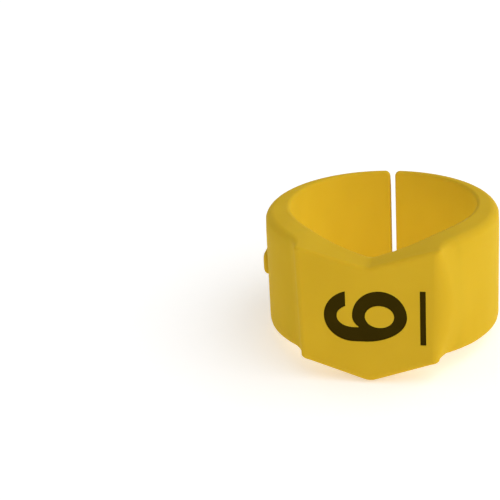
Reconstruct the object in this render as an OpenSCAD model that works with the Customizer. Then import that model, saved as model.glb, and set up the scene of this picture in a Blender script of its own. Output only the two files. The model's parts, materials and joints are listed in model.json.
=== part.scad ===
// Numbered clip-on leg band: a thick split ring of flexible plastic with a flat,
// chevron-ended number plate at the front. Its wall thins from the plate to the split,
// so that both arms bend evenly when the band is pushed over a leg.
// Frame: bore axis on Z with the notched end up, number plate facing -Y, split at +Y.
// The number reads with its top towards -X. All sizes are in millimetres.

/* [Ring] */
// Inside diameter, the size that a leg band is sold by
bore_d = 16; // [15:0.5:18]
// Wall thickness at the split
wall_back = 0.97; // [0.9:0.01:1.2]
// Wall thickness at the front, under the number plate
wall_front = 2.86; // [2.5:0.02:3.0]
// Width of the ring along its axis
band_w = 10; // [9.5:0.1:12]
// Width of the split between the two tips
split_w = 0.46; // [0.42:0.02:1.0]
// Distance of the split from the middle, towards +X
split_shift = -0.16; // [-0.3:0.02:0.3]
// Rounding of the outer edge at the notched end
round_top = 0.8; // [0.2:0.1:0.8]
// Rounding of the outer edge at the pointed end
round_bottom = 0.4; // [0.2:0.1:0.7]

/* [Number plate] */
// Length of the plate around the band, at mid-width
plate_len = 11.7; // [11:0.1:11.8]
// How much longer the plate reaches on each side at the notched end than at the pointed end
plate_taper = 0.28; // [0:0.02:0.6]
// How far the flat face lies behind the front of the ring
face_cut = 0.42; // [0.3:0.02:0.6]
// Depth of the notch
notch_depth = 1.8; // [1:0.05:2]
// Height of the point at the other end
point_height = 1.95; // [1:0.05:2]
// Rounding of the plate's two upright edges
round_side = 0.5; // [0.2:0.05:0.6]
// Rounding of the plate's edges at both ends
round_plate = 0.3; // [0.2:0.05:0.6]

/* [Marks] */
// Height of the digit
digit_h = 6.8; // [5:0.05:7]
// Width of the digit
digit_w = 4.52; // [4:0.02:4.8]
// Width of the digit's upright strokes
stroke_v = 1.3; // [0.9:0.05:1.5]
// Width of the digit's level strokes
stroke_h = 1.06; // [0.8:0.01:1.2]
// Height of the digit's centre over the middle of the plate
digit_rise = 0.24; // [0:0.02:0.4]
// Distance of the marks from mid-width towards the pointed end
mark_shift = 1.02; // [0.5:0.02:1.1]
// Length of the line under the digit
line_len = 4.78; // [3:0.02:5]
// Thickness of the line under the digit
line_t = 0.48; // [0.3:0.02:0.6]
// Space between the digit and the line
line_gap = 1.04; // [0.9:0.02:1.2]
// Depth of the marks in the plate's face
mark_depth = 0.25; // [0.1:0.05:0.4]

/* [Flex] */
// Angle from the middle of the plate to the place where an arm bends
flex_angle = 57; // [55:1:62]
// Clearance between an arm's rounded root and its seat
flex_gap = 0.13; // [0.1:0.01:0.2]

/* [Side lug] */
// Length of the lug along the band's axis
lug_len = 2.0; // [1.5:0.1:4]
// Width of the lug around the band
lug_w = 2.4; // [1.5:0.1:3]
// Height of the lug over the ring
lug_h = 0.45; // [0.4:0.05:0.8]
// Distance of the lug from mid-width towards the pointed end
lug_shift = 0.2; // [0:0.05:1]

/* [Hidden] */
$fn = 96;

band_yellow = "#E3B92D";
ink_black = "#2C210D";

bore_r = bore_d / 2;
eccentricity = (wall_front - wall_back) / 2;
outer_r = bore_r + (wall_front + wall_back) / 2;
face_y = -(outer_r + eccentricity - face_cut);
plate_half = plate_len / 2;
notch_half = plate_half + plate_taper / 2;
point_half = plate_half - plate_taper / 2;
plate_back_y = 0.3 - bore_r * cos(asin(notch_half / bore_r)); // a little inside the bore
far = 40;       // longer than any part
overrun = 0.01; // how far joined or cut shapes run past each other

// Distance from the bore axis to the ring's outer face, at an angle from the front
function outer_reach(angle) =
    eccentricity * cos(angle) + sqrt(pow(outer_r, 2) - pow(eccentricity * sin(angle), 2));

flex_root_r = (outer_reach(flex_angle) - bore_r) / 2;
flex_reach = bore_r + flex_root_r;

counter_a = digit_w / 2 - stroke_v;
crotch_a = 0.33 * digit_w;
bowl_b = 0.33 * digit_h;
stem_b = 0.52 * digit_h;
hook_b = 0.353 * digit_h;
hook_cut = 0.25 * hook_b;
bowl_y = digit_rise - digit_h / 2 + bowl_b;
stem_y = digit_rise - digit_h / 2 + stem_b;
hook_y = digit_rise + digit_h / 2 - hook_b;
line_y = digit_rise - digit_h / 2 - line_gap - line_t / 2;

// ---- shared shapes ----

// Points of an elliptic arc between two angles, with half-widths a and b, centred at height y
function arc_points(a, b, y, from, to, steps = 24) =
    [for (i = [0 : steps]) let (t = from + (to - from) * i / steps) [a * cos(t), y + b * sin(t)]];

// Drum about Z as wide as the band, with both rims rounded
module drum(r) {
    half = band_w / 2;
    rotate_extrude()
        intersection() {
            translate([0, -half]) square([r, band_w]);
            union() {
                translate([0, -half]) square([r - round_bottom, band_w]);
                translate([0, -half + round_bottom]) square([r, band_w - round_bottom - round_top]);
                translate([0, half - round_top - overrun]) square([r - round_top, round_top + overrun]);
                translate([r - round_bottom, -half + round_bottom]) circle(round_bottom);
                translate([r - round_top, half - round_top]) circle(round_top);
            }
        }
}

module bore_cutter() {
    cylinder(r = bore_r, h = far, center = true);
}

// The whole ring, before it is split
module ring_wall() {
    difference() {
        translate([0, -eccentricity, 0]) drum(outer_r);
        bore_cutter();
    }
}

// Wedge about Z between two angles, counted from the front towards +X
module sector(from, to) {
    middle = (from + to) / 2;
    linear_extrude(height = far, center = true)
        polygon([[0, 0], for (angle = [from, middle, to]) far * [sin(angle), -cos(angle)]]);
}

// Moves a shape to the axis about which an arm bends: side is -1 on the left, 1 on the right
module at_flex(side) {
    translate([side * flex_reach * sin(flex_angle), -flex_reach * cos(flex_angle), 0])
        children();
}

// Stands a flat shape up at depth y and grows it outwards: its x runs along +Z, its y along -X
module stand_up(y, height) {
    translate([0, y, 0]) rotate([0, -90, 90]) linear_extrude(height = height) children();
}

// Cutter that rounds one straight edge along X, between a front face and an end face
module edge_round(r) {
    difference() {
        translate([0, -overrun, -r]) cube([2 * far, r + overrun, r + overrun], center = false);
        translate([-overrun, r, -r]) rotate([0, 90, 0]) cylinder(r = r, h = 3 * far);
    }
}

// ---- number plate ----

// The plate seen from the front: a point at one end and a notch at the other
module plate_outline() {
    half_w = band_w / 2;
    polygon([
        [-half_w, -point_half], [half_w, -notch_half], [half_w - notch_depth, 0],
        [half_w, notch_half], [-half_w, point_half], [-half_w - point_height, 0]
    ]);
}

// Both upright edges of the plate's face, as cutters
module side_rounds() {
    lean = atan(plate_taper / band_w);
    for (side = [0, 1])
        mirror([side, 0, 0])
            translate([notch_half, face_y, band_w / 2])
                rotate([0, 90 + lean, 0]) translate([-far, 0, 0]) edge_round(round_side);
}

// Both chevron edges of the plate's face, as cutters
module chevron_rounds() {
    for (side = [0, 1])
        mirror([side, 0, 0]) {
            translate([0, face_y, band_w / 2 - notch_depth])
                rotate([0, -atan(notch_depth / notch_half), 0]) edge_round(round_plate);
            translate([0, face_y, -band_w / 2 - point_height])
                rotate([0, -atan(point_height / point_half), 0])
                    mirror([0, 0, 1]) edge_round(round_plate);
        }
}

// The triangle that the notch takes out of the plate
module notch_cutter() {
    stand_up(0, far)
        polygon([
            [band_w / 2 - notch_depth, 0], [band_w / 2, -notch_half], [band_w, -notch_half],
            [band_w, notch_half], [band_w / 2, notch_half]
        ]);
}

// ---- marks ----

module digit_shape() {
    half = digit_w / 2;
    inner_b = hook_b - stroke_h;
    difference() {
        polygon(concat(
            // over the hook, down the stem and round the bowl
            arc_points(half, hook_b, hook_y, asin(hook_cut / hook_b), 180),
            arc_points(half, stem_b, stem_y, 180, 270),
            arc_points(half, bowl_b, bowl_y, 270, 450, 40),
            // into the crotch, and back along the inside of the hook
            arc_points(crotch_a, bowl_b, bowl_y, 90, 180 - acos(counter_a / crotch_a)),
            arc_points(counter_a, inner_b, hook_y, 180, asin(hook_cut / inner_b))
        ));
        polygon(arc_points(counter_a, bowl_b - stroke_h, bowl_y, 0, 354, 59));
    }
}

module underline_shape() {
    translate([-line_len / 2, line_y - line_t / 2]) square([line_len, line_t]);
}

// Sinks a flat mark into the plate's face, to a height over its floor
module on_face(height) {
    stand_up(face_y + mark_depth, height) translate([-mark_shift, 0]) children();
}

// ---- sub-parts ----

module number_plate() {
    color(band_yellow)
        difference() {
            union() {
                intersection() {
                    ring_wall();
                    sector(-flex_angle, flex_angle);
                }
                difference() {
                    stand_up(plate_back_y, far) plate_outline();
                    side_rounds();
                }
            }
            translate([0, face_y - far / 2, 0]) cube(far, center = true);
            notch_cutter();
            chevron_rounds();
            bore_cutter();
            for (side = [-1, 1])
                at_flex(side)
                    cylinder(r = flex_root_r + flex_gap, h = far, center = true);
            on_face(far) digit_shape();
            on_face(far) underline_shape();
        }
}

// One flexing arm, from its rounded root to the split
module arm(side) {
    color(band_yellow)
        difference() {
            intersection() {
                ring_wall();
                union() {
                    if (side > 0) sector(flex_angle, 180);
                    else sector(180, 360 - flex_angle);
                    at_flex(side) cylinder(r = flex_root_r, h = far, center = true);
                }
            }
            translate([split_shift, 0, 0]) cube([split_w, far, far], center = true);
        }
}

module left_arm() {
    arm(-1);
}

module right_arm() {
    arm(1);
}

module side_lug() {
    color(band_yellow)
        translate([0, -eccentricity, -lug_shift])
            difference() {
                translate([-outer_r - lug_h, -lug_w / 2, -lug_len / 2])
                    cube([bore_r, lug_w, lug_len]);
                cylinder(r = outer_r, h = far, center = true);
            }
}

module digit_mark() {
    color(ink_black) on_face(mark_depth) digit_shape();
}

module underline_mark() {
    color(ink_black) on_face(mark_depth) underline_shape();
}

number_plate();
left_arm();
right_arm();
side_lug();
digit_mark();
underline_mark();
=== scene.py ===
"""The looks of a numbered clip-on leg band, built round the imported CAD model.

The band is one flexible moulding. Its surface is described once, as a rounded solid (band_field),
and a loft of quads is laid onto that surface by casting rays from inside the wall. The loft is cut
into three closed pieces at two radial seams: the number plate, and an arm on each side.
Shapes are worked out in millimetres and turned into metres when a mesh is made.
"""
import json
import math

import bmesh
import bpy
import numpy as np
from mathutils import Matrix, Vector


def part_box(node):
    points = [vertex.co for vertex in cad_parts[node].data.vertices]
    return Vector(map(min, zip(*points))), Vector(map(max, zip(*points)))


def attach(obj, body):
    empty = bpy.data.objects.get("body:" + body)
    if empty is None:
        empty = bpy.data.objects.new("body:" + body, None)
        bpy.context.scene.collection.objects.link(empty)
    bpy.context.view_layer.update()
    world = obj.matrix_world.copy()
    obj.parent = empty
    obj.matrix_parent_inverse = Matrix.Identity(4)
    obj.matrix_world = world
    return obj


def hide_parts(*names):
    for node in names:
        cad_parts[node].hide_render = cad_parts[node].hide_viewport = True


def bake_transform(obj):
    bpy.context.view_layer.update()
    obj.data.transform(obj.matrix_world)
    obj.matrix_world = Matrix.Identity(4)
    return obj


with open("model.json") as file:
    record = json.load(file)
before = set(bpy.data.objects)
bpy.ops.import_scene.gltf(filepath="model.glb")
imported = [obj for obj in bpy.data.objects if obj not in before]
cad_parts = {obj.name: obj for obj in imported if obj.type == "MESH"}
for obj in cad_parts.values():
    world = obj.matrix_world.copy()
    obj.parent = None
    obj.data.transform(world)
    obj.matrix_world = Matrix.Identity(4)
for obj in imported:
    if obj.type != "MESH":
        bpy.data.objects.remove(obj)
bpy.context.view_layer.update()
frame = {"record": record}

METRE = 1000.0  # millimetres in a metre


# ---------------------------------------------------------------- sizes from the frame

def box_mm(node):
    """Lowest and highest corner of a CAD node, in millimetres."""
    lo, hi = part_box(node)
    return np.array(lo) * METRE, np.array(hi) * METRE


def mount_radius(name):
    """Radius of a round mount, in millimetres."""
    return next(m for m in frame["record"]["mounts"] if m["name"] == name)["dims"]["r_mm"]


plate_lo, plate_hi = box_mm("number_plate")
left_hi = box_mm("left_arm")[1]
right_lo, right_hi = box_mm("right_arm")
lug_lo, lug_hi = box_mm("side_lug")
digit_lo, digit_hi = box_mm("digit_mark")
line_lo, line_hi = box_mm("underline_mark")

BORE_R = mount_radius("leg_opening")
OUTER_R = right_hi[0]
ECCENTRIC = OUTER_R - right_hi[1]        # the outer circle's centre is this far in front of the bore's
HALF_W = plate_hi[2]                     # half the ring's width
POINT_HEIGHT = -plate_lo[2] - HALF_W     # how far the plate's point stands past the ring
FACE_Y = plate_lo[1]                     # the plate's face
HALF_SPLIT = (right_lo[0] - left_hi[0]) / 2
SPLIT_X = (right_lo[0] + left_hi[0]) / 2

# ---------------------------------------------------------------- the band's own sizes, mm

NOTCH_DEPTH = 1.8       # of the notch in the plate's other end
NOTCH_HALF = 5.99       # half the plate's length at the notched end of the ring
POINT_HALF = 5.71       # and at the pointed end
PLATE_CORNER_R = 0.5    # upright edges of the plate
BOW_CORNER_R = 0.7      # added at mid-width on the right, where the plate flows into the wall
PLATE_EDGE_R = 0.3      # edges of the plate's face at both ends
STEP_FILLET_R = (0.8, 0.6)    # foot of the plate's left side, and of its right side
BOW_FILLET_R = 2.4      # added at mid-width on the right
NOTCH_EDGE_R = 0.8      # outer edge of the ring at the notched end
POINT_EDGE_R = 0.4      # outer edge of the ring at the pointed end
EDGE_CHANGE = (0.5, 2.0)    # how far behind the face the plate's edges start and end turning into the ring's
MOUTH_R = 0.12          # edges of the bore
NOTCH_FOLD_R = 0.15     # bottom of the notch
POINT_FOLD_R = 0.3      # tip of the point
NOTCH_SHOULDER_R = 0.4  # where the notch's slopes level out
POINT_SHOULDER_R = 0.25 # where the point's slopes level out
TIP_EDGE_R = 0.16       # upright edges of the two tips
TIP_CORNER_R = 0.45     # ends of the two tips
TIP_CORNER_REACH = 1.0  # length over which the one rounding turns into the other
FAR = 99.0              # a distance no part of the band reaches
SHARPEST_BEND = 3.0     # curvature, per mm, that counts as fully worn


# ---------------------------------------------------------------- the band as a solid

def both(a, b, r):
    """What two solids share, given their distance fields, with an edge of radius r."""
    return np.minimum(np.maximum(a, b), -r) + np.hypot(np.maximum(a + r, 0), np.maximum(b + r, 0))


def either(a, b, r):
    """Two solids joined, with a fillet of radius r."""
    return -both(-a, -b, r)


def band_field(p):
    """Distance to the band's surface in mm, negative inside the plastic."""
    x, y, z = p[..., 0], p[..., 1], p[..., 2]
    in_front = y < 0

    # seen along the bore: the ring, with the plate's slab joined on and trimmed to its flat face
    half = (NOTCH_HALF + POINT_HALF) / 2 + (NOTCH_HALF - POINT_HALF) * z / (2 * HALF_W)
    side = np.where(in_front, np.abs(x) - half, FAR)
    ring = np.hypot(x, y + ECCENTRIC) - OUTER_R
    bow = np.where(x > 0, np.clip(1 - (z / HALF_W) ** 2, 0, 1), 0)
    outer = either(ring, side, np.where(x < 0, *STEP_FILLET_R) + BOW_FILLET_R * bow)
    outer = both(outer, FACE_Y - y, PLATE_CORNER_R + BOW_CORNER_R * bow)

    # both ends: level on the ring, and folded into a notch and a point across the plate
    fall, rise = NOTCH_DEPTH / NOTCH_HALF, POINT_HEIGHT / POINT_HALF
    notch = [(z - HALF_W + NOTCH_DEPTH - side_x * fall) / math.hypot(1, fall) for side_x in (x, -x)]
    point = [(-z - HALF_W - POINT_HEIGHT + side_x * rise) / math.hypot(1, rise) for side_x in (x, -x)]
    notch = np.where(in_front, either(*notch, NOTCH_FOLD_R), -FAR)
    point = np.where(in_front, both(*point, POINT_FOLD_R), FAR)
    top = both(notch, z - HALF_W, NOTCH_SHOULDER_R)
    bottom = either(point, -z - HALF_W, POINT_SHOULDER_R)

    start, stop = EDGE_CHANGE
    on_ring = np.clip((y - FACE_Y - start) / (stop - start), 0, 1)
    solid = both(outer, top, PLATE_EDGE_R + (NOTCH_EDGE_R - PLATE_EDGE_R) * on_ring)
    solid = both(solid, bottom, PLATE_EDGE_R + (POINT_EDGE_R - PLATE_EDGE_R) * on_ring)

    # the split, rounded more at the corners of the two tips than along their upright edges
    split = np.where(in_front, -FAR, HALF_SPLIT - np.abs(x - SPLIT_X))
    near_end = np.clip((np.abs(z) - HALF_W) / TIP_CORNER_REACH + 1.5, 0, 1)
    solid = both(solid, split, TIP_EDGE_R + (TIP_CORNER_R - TIP_EDGE_R) * near_end)
    return both(solid, BORE_R - np.hypot(x, y), MOUTH_R)


def field_gradient(p, h=0.004):
    """Unit outward normal of the band at points p."""
    steps = np.eye(3) * h
    g = np.stack([band_field(p + s) - band_field(p - s) for s in steps], axis=-1)
    return g / np.maximum(np.linalg.norm(g, axis=-1, keepdims=True), 1e-9)


def edge_sharpness(p, h=0.12):
    """How strongly the surface bulges at points p: 0 on flat and hollow places, 1 on the tightest edges."""
    steps = np.eye(3) * h
    bend = sum(band_field(p + s) + band_field(p - s) for s in steps) - 6 * band_field(p)
    return np.clip(bend / h ** 2 / SHARPEST_BEND, 0, 1)


def cast(origin, direction, reach=4.0, steps=46):
    """Where rays that start inside the plastic leave it, by halving the interval."""
    near, far = np.zeros(origin.shape[:-1]), np.full(origin.shape[:-1], reach)
    for _ in range(steps):
        middle = (near + far) / 2
        inside = band_field(origin + middle[..., None] * direction) < 0
        near, far = np.where(inside, middle, near), np.where(inside, far, middle)
    return origin + far[..., None] * direction


# ---------------------------------------------------------------- laying the loft

SIDE_LEVELS = 9      # points up each side of a section
END_POINTS = 8       # points across each end
OUTER_FAN = 7        # steps round an outer edge
MOUTH_FAN = 3        # steps round a bore edge
SEAM_ANGLE = 42.0    # the seams between plate and arms, from the middle of the plate
TIP_MARGIN = 0.5     # the last section before a tip stands this far from the split

# stretches of the band, by angle from the middle of the plate, and the step between their sections
MIDDLE_END, MIDDLE_STEP = 1.5, 0.3      # the fold of the notch and the point
FACE_END, FACE_STEP = 25.5, 1.6         # the flat of the plate
CORNER_END, CORNER_STEP = 38.0, 0.35    # the plate's corner and the step down to the ring
SHOULDER_STEP = 0.8                     # from there to the seam
ROOT_END, ROOT_STEP = 54.0, 0.9         # the root of an arm
ARM_STEP = 2.4                          # the rest of the arm
TIP_STRETCH, TIP_STEP = 4.0, 1.0        # its end

# rays start from a core inside the wall, this many mm under the surface, and no deeper than this share
# of the wall's thickness
CORE_INNER, CORE_INNER_SHARE = 0.3, 0.3     # behind the bore
CORE_OUTER, CORE_OUTER_SHARE = 0.85, 0.62   # behind the outer face
CORE_TOP, CORE_LOW = 0.55, 0.85             # under the notched end, and over the pointed end


def radial(angle, r, z):
    """Point at an angle from the front, counted towards +X, a radius and a height."""
    a = np.radians(angle)
    return np.stack(np.broadcast_arrays(r * np.sin(a), -r * np.cos(a), z), axis=-1)


def span(start, stop, step):
    """Evenly spaced angles from start up to but not including stop."""
    return list(np.linspace(start, stop, max(1, round((stop - start) / step)), endpoint=False))


def half_stations(side):
    """Section angles from the middle of the plate to a tip, closer where the shape turns."""
    last = 180 - math.degrees(math.asin((HALF_SPLIT + side * SPLIT_X + TIP_MARGIN) / BORE_R))
    plate_half = (span(0, MIDDLE_END, MIDDLE_STEP) + span(MIDDLE_END, FACE_END, FACE_STEP)
                  + span(FACE_END, CORNER_END, CORNER_STEP) + span(CORNER_END, SEAM_ANGLE, SHOULDER_STEP))
    arm = (span(SEAM_ANGLE, ROOT_END, ROOT_STEP) + span(ROOT_END, last - TIP_STRETCH, ARM_STEP)
           + span(last - TIP_STRETCH, last, TIP_STEP) + [last])
    return plate_half + arm


def section_rays(angle):
    """Ray origins and directions that trace one radial section of the band, once round."""
    start, way = radial(angle, np.array([BORE_R + 0.02]), 0.0), radial(angle, np.ones(1), 0.0)
    outer_r = np.linalg.norm(cast(start, way)[0, :2])
    wall = outer_r - BORE_R
    r_in = BORE_R + min(CORE_INNER, CORE_INNER_SHARE * wall)
    r_out = outer_r - min(CORE_OUTER, CORE_OUTER_SHARE * wall)

    def end_height(r, up):
        start = radial(angle, np.atleast_1d(r), 0.0)
        way = np.broadcast_to([0.0, 0.0, up], start.shape)
        return cast(start, way, reach=9.0)[:, 2]

    across = np.linspace(r_out, r_in, END_POINTS)
    top, low = end_height(across, 1.0) - CORE_TOP, end_height(across, -1.0) + CORE_LOW
    rays = []

    def add(r, z, dr, dz):
        rays.append((r, z, dr, dz))

    def fan(r, z, start, steps):
        for k in range(1, steps):
            turn = math.radians(start + 90.0 * k / steps)
            add(r, z, math.cos(turn), math.sin(turn))

    for z in np.linspace(low[0], top[0], SIDE_LEVELS):
        add(r_out, z, 1, 0)
    fan(r_out, top[0], 0, OUTER_FAN)
    for r, z in zip(across, top):
        add(r, z, 0, 1)
    fan(r_in, top[-1], 90, MOUTH_FAN)
    for z in np.linspace(top[-1], low[-1], SIDE_LEVELS):
        add(r_in, z, -1, 0)
    fan(r_in, low[-1], 180, MOUTH_FAN)
    for r, z in zip(across[::-1], low[::-1]):
        add(r, z, 0, -1)
    fan(r_out, low[0], 270, OUTER_FAN)
    r, z, dr, dz = np.array(rays).T
    return radial(angle, r, z), radial(angle, dr, dz)


def half_band(side):
    """Sections from the middle of the plate to the closed tip: side is 1 on the right, -1 on the left."""
    angles = [side * angle for angle in half_stations(side)]
    sections = [cast(*section_rays(angle), reach=6.0) for angle in angles]
    origin, outward = section_rays(angles[-1])
    towards_split = np.array([-side, 0.0, 0.0])
    for k in range(1, OUTER_FAN + 1):
        turn = math.radians(90.0 * k / OUTER_FAN)
        tipped = math.cos(turn) * outward + math.sin(turn) * towards_split
        sections.append(cast(origin, tipped, reach=2 * TIP_MARGIN))
    return sections


# ---------------------------------------------------------------- meshes

LOFT_WELD, MARK_WELD = 2e-7, 1e-7    # points closer than this many metres are joined
FACING = 0.6    # a face whose normal agrees with the solid's at least this much is on its surface


def new_object(name, mesh):
    piece = bpy.data.objects.new(name, mesh)
    bpy.context.scene.collection.objects.link(piece)
    return piece


def loft(name, sections):
    """A closed mesh through a row of loops, with a flat cap on each end."""
    rows, columns = len(sections), len(sections[0])
    bm = bmesh.new()
    grid = [[bm.verts.new(Vector(p / METRE)) for p in section] for section in sections]
    for i in range(rows - 1):
        for j in range(columns):
            k = (j + 1) % columns
            bm.faces.new((grid[i][j], grid[i + 1][j], grid[i + 1][k], grid[i][k]))
    bm.faces.new(grid[0])
    bm.faces.new(grid[-1][::-1])
    bmesh.ops.remove_doubles(bm, verts=bm.verts, dist=LOFT_WELD)
    bmesh.ops.recalc_face_normals(bm, faces=bm.faces)
    mesh = bpy.data.meshes.new(name)
    bm.to_mesh(mesh)
    bm.free()
    return new_object(name, mesh)


def vertex_points(mesh):
    co = np.empty(len(mesh.vertices) * 3)
    mesh.vertices.foreach_get("co", co)
    return co.reshape(-1, 3) * METRE


def shade_from_field(mesh):
    """Gives the mesh the solid's exact normals, except on faces that aren't on its surface."""
    points = vertex_points(mesh)
    exact = field_gradient(points)
    corner_vertex = np.array([loop.vertex_index for loop in mesh.loops])
    own = np.empty((len(mesh.loops), 3))
    for face in mesh.polygons:
        own[face.loop_start:face.loop_start + face.loop_total] = face.normal
    wanted = exact[corner_vertex]
    on_surface = (wanted * own).sum(axis=1) > FACING
    mesh.shade_smooth()
    mesh.normals_split_custom_set(np.where(on_surface[:, None], wanted, own))
    wear = mesh.attributes.new("edge_wear", "FLOAT", "POINT")
    wear.data.foreach_set("value", edge_sharpness(points).astype(np.float32))


def applied(piece):
    """Turns a piece and its modifiers, or a curve, into a plain mesh object of the same name."""
    bpy.context.view_layer.update()
    evaluated = piece.evaluated_get(bpy.context.evaluated_depsgraph_get())
    mesh = bpy.data.meshes.new_from_object(evaluated)
    mesh.transform(piece.matrix_world)
    name = piece.name
    bpy.data.objects.remove(piece)
    mesh.name = name
    return new_object(name, mesh)


def cut(piece, cutter):
    """Takes the cutter's shape out of the piece, and removes the cutter."""
    tool = piece.modifiers.new("cut", "BOOLEAN")
    tool.object, tool.operation, tool.solver = cutter, "DIFFERENCE", "EXACT"
    piece = applied(piece)
    bpy.data.objects.remove(cutter)
    return piece


# ---------------------------------------------------------------- marks on the plate

STROKE_V = 1.3       # width of the digit's upright strokes, mm
STROKE_H = 1.06      # and of its level ones
BOWL_SHARE = 0.33    # half-height of the bowl, as a share of the digit's height
STEM_SHARE = 0.52    # height over which the stem rounds off into the bottom
HOOK_SHARE = 0.353   # half-height of the hook
HOOK_CUT = 0.25      # the hook's free end is cut this far up its half-height
CROTCH_SHARE = 0.33  # half-width of the bowl's shoulder, as a share of the digit's width
POCKET_DEPTH = 0.14  # depth of a mark's pocket in the plate
POCKET_RUN_OUT = 0.3 # how far the pocket's cutter stands out of the face
INK_LEVEL = 0.035    # how far the ink stays below the plate's face
INK_GAP = 0.012      # between the ink and the pocket's wall
INK_EDGE_R = 0.03    # rounding of the ink's edges


def arc(a, b, x, y, start, stop, steps):
    """Points of an elliptic arc with half-widths a and b, centred at (x, y)."""
    turns = np.radians(np.linspace(start, stop, steps))
    return [(x + a * math.cos(t), y + b * math.sin(t)) for t in turns]


def digit_outlines(width, height):
    """Outer and inner outline of a 6 that stands upright and is centred on the origin."""
    half, counter = width / 2, width / 2 - STROKE_V
    crotch_a = CROTCH_SHARE * width
    bowl_b, stem_b, hook_b = BOWL_SHARE * height, STEM_SHARE * height, HOOK_SHARE * height
    bowl_y, stem_y, hook_y = bowl_b - height / 2, stem_b - height / 2, height / 2 - hook_b
    inner_b = hook_b - STROKE_H
    cut_outer = math.degrees(math.asin(HOOK_CUT))
    cut_inner = math.degrees(math.asin(HOOK_CUT * hook_b / inner_b))
    crotch = 180 - math.degrees(math.acos(counter / crotch_a))
    outer = (arc(half, hook_b, 0, hook_y, cut_outer, 180, 44)
             + arc(half, stem_b, 0, stem_y, 180, 270, 32)
             + arc(half, bowl_b, 0, bowl_y, 270, 450, 60)[1:]
             + arc(crotch_a, bowl_b, 0, bowl_y, 90, crotch, 12)[1:]
             + arc(counter, inner_b, 0, hook_y, 180, cut_inner, 32))
    inner = arc(counter, bowl_b - STROKE_H, 0, bowl_y, 0, 360, 65)[:-1]
    return [outer, inner]


def rectangle(width, height, r=0.05):
    """Outline of a rectangle with small round corners, centred on the origin."""
    corners = [(1, 1, 0), (-1, 1, 90), (-1, -1, 180), (1, -1, 270)]
    return [p for sx, sy, start in corners
            for p in arc(r, r, sx * (width / 2 - r), sy * (height / 2 - r), start, start + 90, 5)]


def mark(name, outlines, centre_x, centre_z, depth_from, depth_to, grow=0.0, edge=0.0):
    """A closed slab of a mark's outline, between two depths behind the plate's face."""
    flat = bpy.data.curves.new(name, "CURVE")
    flat.dimensions, flat.fill_mode = "2D", "BOTH"
    for outline in outlines:
        spline = flat.splines.new("POLY")
        spline.points.add(len(outline) - 1)
        spline.points.foreach_set("co", [c / METRE for x, y in outline for c in (x, y, 0, METRE)])
        spline.use_cyclic_u = True
    flat.extrude = (depth_to - depth_from) / 2 / METRE - edge / METRE
    flat.bevel_depth, flat.bevel_resolution = edge / METRE, 2
    flat.offset = (grow - edge) / METRE
    piece = new_object(name, flat)
    middle_y = FACE_Y + (depth_from + depth_to) / 2
    # the outline's x runs along +Z and its y along -X, and the slab's outer face looks along -Y
    piece.matrix_world = Matrix((
        (0, -1, 0, centre_x / METRE),
        (0, 0, -1, middle_y / METRE),
        (1, 0, 0, centre_z / METRE),
        (0, 0, 0, 1),
    ))
    piece = applied(piece)
    bm = bmesh.new()
    bm.from_mesh(piece.data)
    bmesh.ops.remove_doubles(bm, verts=bm.verts, dist=MARK_WELD)
    bmesh.ops.recalc_face_normals(bm, faces=bm.faces)
    bm.to_mesh(piece.data)
    bm.free()
    return piece


# ---------------------------------------------------------------- the side lug

LUG_EDGE_R = (0.3, 0.42)    # rounding of the lug's outer edges: along the band, and at its two ends
LUG_CORNER_R = 0.4          # and of its four corners
LUG_FILLET_R = 0.12         # hollow where it meets the ring
LUG_ROOT = 0.12             # how deep its root is sunk in the wall
LUG_CROWN = 5               # rings across the lug's outer face


def lug_ring(half_round, half_long, height):
    """One closed outline of the lug, wrapped round the ring at a height over its wall."""
    corner = min(LUG_CORNER_R, half_round, half_long)
    u, v = np.array(rectangle(2 * half_round, 2 * half_long, corner)).T
    turn, r = u / OUTER_R, OUTER_R + height
    middle_z = (lug_hi[2] + lug_lo[2]) / 2
    return np.stack([-r * np.cos(turn), -ECCENTRIC + r * np.sin(turn), middle_z + v], axis=-1)


def make_lug():
    """A low block with rounded edges that follows the ring's curve."""
    half_round, half_long = (lug_hi[1] - lug_lo[1]) / 2, (lug_hi[2] - lug_lo[2]) / 2
    height = -lug_lo[0] - OUTER_R
    turns = [math.radians(15 * k) for k in range(7)]
    rings = [lug_ring(half_round + LUG_FILLET_R, half_long + LUG_FILLET_R, -LUG_ROOT)]
    for t in turns:
        grow = LUG_FILLET_R * (1 - math.sin(t))
        rings.append(lug_ring(half_round + grow, half_long + grow, LUG_FILLET_R * (1 - math.cos(t))))
    for t in turns:
        inset_u, inset_v = (r * (1 - math.cos(t)) for r in LUG_EDGE_R)
        lift = (height - LUG_FILLET_R) * math.sin(t)
        rings.append(lug_ring(half_round - inset_u, half_long - inset_v, LUG_FILLET_R + lift))
    face_u, face_v = half_round - LUG_EDGE_R[0], half_long - LUG_EDGE_R[1]
    for k in range(1, LUG_CROWN):
        share = 1 - k / LUG_CROWN
        rings.append(lug_ring(face_u * share, face_v * share, height))
    piece = loft("side_lug_block", rings)
    piece.data.shade_smooth()
    return piece


# ---------------------------------------------------------------- materials

def mm_scale(size):
    """Noise scale whose features are about this many millimetres across."""
    return METRE / size


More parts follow.
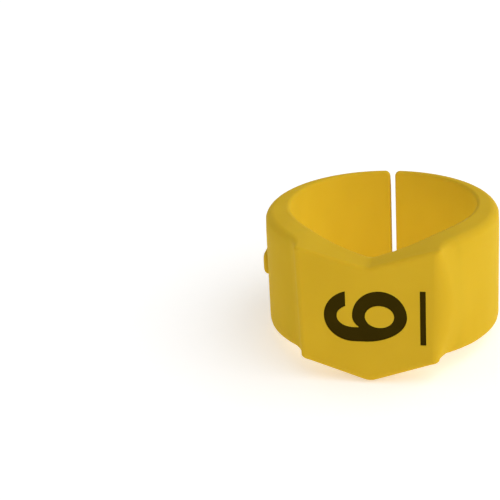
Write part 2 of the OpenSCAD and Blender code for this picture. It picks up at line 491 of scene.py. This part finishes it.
class Nodes:
    """A short way to write a material's node tree."""

    def __init__(self, name):
        self.material = bpy.data.materials.new(name)
        self.material.use_nodes = True
        self.tree = self.material.node_tree
        self.shader = self.tree.nodes["Principled BSDF"]
        self.coordinates = self.add("ShaderNodeTexCoord").outputs["Object"]

    def add(self, kind, **settings):
        node = self.tree.nodes.new(kind)
        for key, value in settings.items():
            setattr(node, key, value)
        return node

    def link(self, output, target):
        self.tree.links.new(output, target)

    def noise(self, size, detail=2.0, roughness=0.5, stretch=(1, 1, 1)):
        """Noise with features of this size in mm, as a value round 0.5."""
        mapping = self.add("ShaderNodeMapping")
        mapping.inputs["Scale"].default_value = stretch
        self.link(self.coordinates, mapping.inputs["Vector"])
        noise = self.add("ShaderNodeTexNoise")
        noise.inputs["Scale"].default_value = mm_scale(size)
        noise.inputs["Detail"].default_value = detail
        noise.inputs["Roughness"].default_value = roughness
        self.link(mapping.outputs["Vector"], noise.inputs["Vector"])
        return noise.outputs["Fac"]

    def spread(self, value, low, high, lowest=0.0, highest=1.0):
        """Maps a value from low..high onto lowest..highest."""
        node = self.add("ShaderNodeMapRange")
        node.inputs["From Min"].default_value = low
        node.inputs["From Max"].default_value = high
        node.inputs["To Min"].default_value = lowest
        node.inputs["To Max"].default_value = highest
        self.link(value, node.inputs["Value"])
        return node.outputs["Result"]

    def maths(self, operation, a, b):
        node = self.add("ShaderNodeMath", operation=operation)
        for socket, value in zip(node.inputs, (a, b)):
            if isinstance(value, (int, float)):
                socket.default_value = value
            else:
                self.link(value, socket)
        return node.outputs["Value"]

    def mix(self, factor, a, b):
        """A colour between a and b, each a colour or another node's output."""
        node = self.add("ShaderNodeMix", data_type="RGBA")
        self.link(factor, node.inputs["Factor"])
        for name, value in (("A", a), ("B", b)):
            socket = next(i for i in node.inputs if i.name == name and i.type == "RGBA")
            if isinstance(value, tuple):
                socket.default_value = (*value, 1)
            else:
                self.link(value, socket)
        return next(o for o in node.outputs if o.type == "RGBA")

    def bump(self, height, depth, strength, below=None):
        """Relief of this depth in mm, on top of the relief below."""
        node = self.add("ShaderNodeBump")
        node.inputs["Distance"].default_value = depth / METRE
        node.inputs["Strength"].default_value = strength
        self.link(height, node.inputs["Height"])
        if below is not None:
            self.link(below, node.inputs["Normal"])
        return node.outputs["Normal"]


BAND_COLOUR = (0.700, 0.446, 0.0230)
BAND_DEEP = (0.672, 0.424, 0.0210)
BAND_RUBBED = (0.715, 0.458, 0.0250)
INK_COLOUR = (0.0360, 0.0225, 0.0002)
INK_WORN = (0.0410, 0.0255, 0.0004)


def band_plastic():
    """Soft moulded plastic with a fine matt grain, faint clouding and rubbed edges."""
    n = Nodes("band_plastic")
    clouds = n.noise(6.0, detail=3.0)
    flow = n.noise(2.2, detail=2.0, stretch=(1, 1, 0.35))
    grain = n.noise(0.11, detail=3.0, roughness=0.6)
    pores = n.noise(0.34, detail=1.0)
    wear = n.add("ShaderNodeAttribute", attribute_name="edge_wear").outputs["Fac"]

    clouding = n.spread(n.maths("ADD", n.maths("MULTIPLY", clouds, 0.65), n.maths("MULTIPLY", flow, 0.35)),
                        0.38, 0.62)
    body = n.mix(clouding, BAND_DEEP, BAND_COLOUR)
    rubbed = n.maths("MULTIPLY", n.spread(wear, 0.15, 0.9), n.spread(pores, 0.35, 0.65, 0.15, 0.35))
    n.link(n.mix(rubbed, body, BAND_RUBBED), n.shader.inputs["Base Color"])

    gloss = n.maths("SUBTRACT", n.spread(grain, 0.3, 0.7, 0.62, 0.74), n.maths("MULTIPLY", rubbed, 0.10))
    n.link(gloss, n.shader.inputs["Roughness"])
    n.shader.inputs["Specular IOR Level"].default_value = 0.03
    n.shader.inputs["Subsurface Weight"].default_value = 0.30
    n.shader.inputs["Subsurface Radius"].default_value = (1.0, 0.7, 0.1)
    n.shader.inputs["Subsurface Scale"].default_value = 0.45 / METRE

    relief = n.bump(flow, 0.04, 0.08)
    relief = n.bump(pores, 0.008, 0.10, relief)
    relief = n.bump(grain, 0.003, 0.25, relief)
    n.link(relief, n.shader.inputs["Normal"])
    return n.material


def mark_ink():
    """Dense black ink, thinner towards its edges, with a dry and slightly uneven skin."""
    n = Nodes("mark_ink")
    patches = n.noise(0.9, detail=3.0)
    skin = n.noise(0.08, detail=2.0)
    n.link(n.mix(n.spread(patches, 0.45, 0.75), INK_COLOUR, INK_WORN), n.shader.inputs["Base Color"])
    n.link(n.spread(skin, 0.3, 0.7, 0.48, 0.66), n.shader.inputs["Roughness"])
    n.shader.inputs["Specular IOR Level"].default_value = 0.02
    n.link(n.bump(skin, 0.004, 0.3, n.bump(patches, 0.01, 0.2)), n.shader.inputs["Normal"])
    return n.material


FLOOR_GLOW = 0.36    # how bright that light is; it keeps the shadows pale


def floor_paper():
    """Matt white studio paper with a faint light of its own."""
    n = Nodes("floor_paper")
    fibres = n.noise(1.4, detail=4.0)
    n.link(n.mix(fibres, (0.90, 0.90, 0.895), (0.93, 0.93, 0.925)), n.shader.inputs["Base Color"])
    n.shader.inputs["Roughness"].default_value = 0.9
    n.shader.inputs["Specular IOR Level"].default_value = 0.1
    n.shader.inputs["Emission Color"].default_value = (1, 1, 1, 1)
    n.shader.inputs["Emission Strength"].default_value = FLOOR_GLOW
    n.link(n.bump(fibres, 0.02, 0.1), n.shader.inputs["Normal"])
    return n.material


# ---------------------------------------------------------------- the pieces

plastic, ink = band_plastic(), mark_ink()

left_sections, right_sections = half_band(-1), half_band(1)
seam = half_stations(1).index(SEAM_ANGLE)

plate = loft("number_plate_moulding", left_sections[seam:0:-1] + right_sections[:seam + 1])
left_arm = loft("left_arm_moulding", left_sections[seam:])
right_arm = loft("right_arm_moulding", right_sections[seam:])

digit_shape = digit_outlines(digit_hi[2] - digit_lo[2], digit_hi[0] - digit_lo[0])
line_shape = [rectangle(line_hi[2] - line_lo[2], line_hi[0] - line_lo[0])]
marks = {
    "digit_mark": (digit_shape, (digit_lo + digit_hi) / 2),
    "underline_mark": (line_shape, (line_lo + line_hi) / 2),
}
for node, (outlines, centre) in marks.items():
    plate = cut(plate, mark(node + "_pocket", outlines, centre[0], centre[2], -POCKET_RUN_OUT, POCKET_DEPTH))
    inked = mark(node + "_ink", outlines, centre[0], centre[2], INK_LEVEL, POCKET_DEPTH,
                 grow=-INK_GAP, edge=INK_EDGE_R)
    inked.data.materials.append(ink)
    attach(inked, "plate")
    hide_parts(node)

lug = make_lug()
for piece, node in ((plate, "number_plate"), (left_arm, "left_arm"), (right_arm, "right_arm"),
                    (lug, "side_lug")):
    piece.data.materials.append(plastic)
    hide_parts(node)
for piece in (plate, left_arm, right_arm):
    shade_from_field(piece.data)

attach(plate, "plate")
for piece, body, side in ((left_arm, "left_arm", -1), (lug, "left_arm", -1), (right_arm, "right_arm", 1)):
    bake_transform(piece)

# ---------------------------------------------------------------- floor, light and camera

FLOOR_SIZE = 12.0              # metres
STEEPEST_FLOOR = math.radians(15)
SURROUND = 0.50                # brightness of the white surround


def floor_under(points):
    """Tilt about X and height of a floor that the band's point and its back edge both rest on."""
    front, back = points[points[:, 1] < -BORE_R / 2], points[points[:, 1] > BORE_R / 2]
    low, high = 0.0, STEEPEST_FLOOR
    for _ in range(40):
        tilt = (low + high) / 2
        up = np.array([0, -math.sin(tilt), math.cos(tilt)])
        if (front @ up).min() < (back @ up).min():
            low = tilt
        else:
            high = tilt
    return tilt, (points @ up).min()


band_points = np.concatenate([np.concatenate(left_sections), np.concatenate(right_sections)])
tilt, level = floor_under(band_points)

bpy.ops.mesh.primitive_grid_add(x_subdivisions=8, y_subdivisions=8, size=FLOOR_SIZE)
floor = bpy.context.object
floor.name = "studio_floor"
floor.rotation_euler = (tilt, 0, 0)
floor.location = Vector((0, -math.sin(tilt), math.cos(tilt))) * (level / METRE)
floor.data.materials.append(floor_paper())

scene = bpy.context.scene
scene.view_settings.view_transform = "Standard"
scene.world = bpy.data.worlds.new("studio")
scene.world.use_nodes = True
surround = scene.world.node_tree.nodes["Background"]
surround.inputs["Color"].default_value = (1, 1, 1, 1)
surround.inputs["Strength"].default_value = SURROUND


def softbox(name, azimuth, elevation, distance, size, power):
    """A square area light aimed at the band, in degrees, metres and watts.

    Azimuth 0 is in front of the plate, and 90 is to its right.
    """
    light = bpy.data.lights.new(name, "AREA")
    light.shape, light.size, light.energy = "SQUARE", size, power
    holder = bpy.data.objects.new(name, light)
    scene.collection.objects.link(holder)
    a, e = math.radians(azimuth), math.radians(elevation)
    way = Vector((math.sin(a) * math.cos(e), -math.cos(a) * math.cos(e), math.sin(e)))
    holder.location = way * distance
    holder.rotation_euler = way.to_track_quat("Z", "Y").to_euler()


softbox("key_light", azimuth=76, elevation=40, distance=0.80, size=1.20, power=4.9)

# a small round lamp on the bore's axis, hidden from the camera, that lifts the inside of the band.
# Its light is cool, because the yellow walls light each other and would turn too orange
bore_lamp = bpy.data.lights.new("bore_fill", "POINT")
bore_lamp.energy = 0.00060
bore_lamp.shadow_soft_size = 3.0 / METRE
bore_lamp.color = (0.75, 1.0, 1.0)
bore_fill = bpy.data.objects.new("bore_fill", bore_lamp)
scene.collection.objects.link(bore_fill)
bore_fill.visible_camera = False

# the photographed angle: where the camera stands, the way it looks, and the way its picture's down points
CAMERA_AT = Vector((16.23, -120.32, 49.91)) / METRE
AHEAD = Vector((-0.2114, 0.9034, -0.3731))
DOWN = Vector((0.0286, -0.3759, -0.9262))
LENS = 108.2
SENSOR_W = 36.0

camera = bpy.data.objects.new("camera", bpy.data.cameras.new("camera"))
scene.collection.objects.link(camera)
back = -AHEAD.normalized()
right = DOWN.cross(AHEAD).normalized()
up = back.cross(right)
camera.matrix_world = Matrix.Translation(CAMERA_AT) @ Matrix((right, up, back)).transposed().to_4x4()
camera.data.lens, camera.data.sensor_width = LENS, SENSOR_W
camera.data.clip_start, camera.data.clip_end = 0.005, 20.0
scene.camera = camera
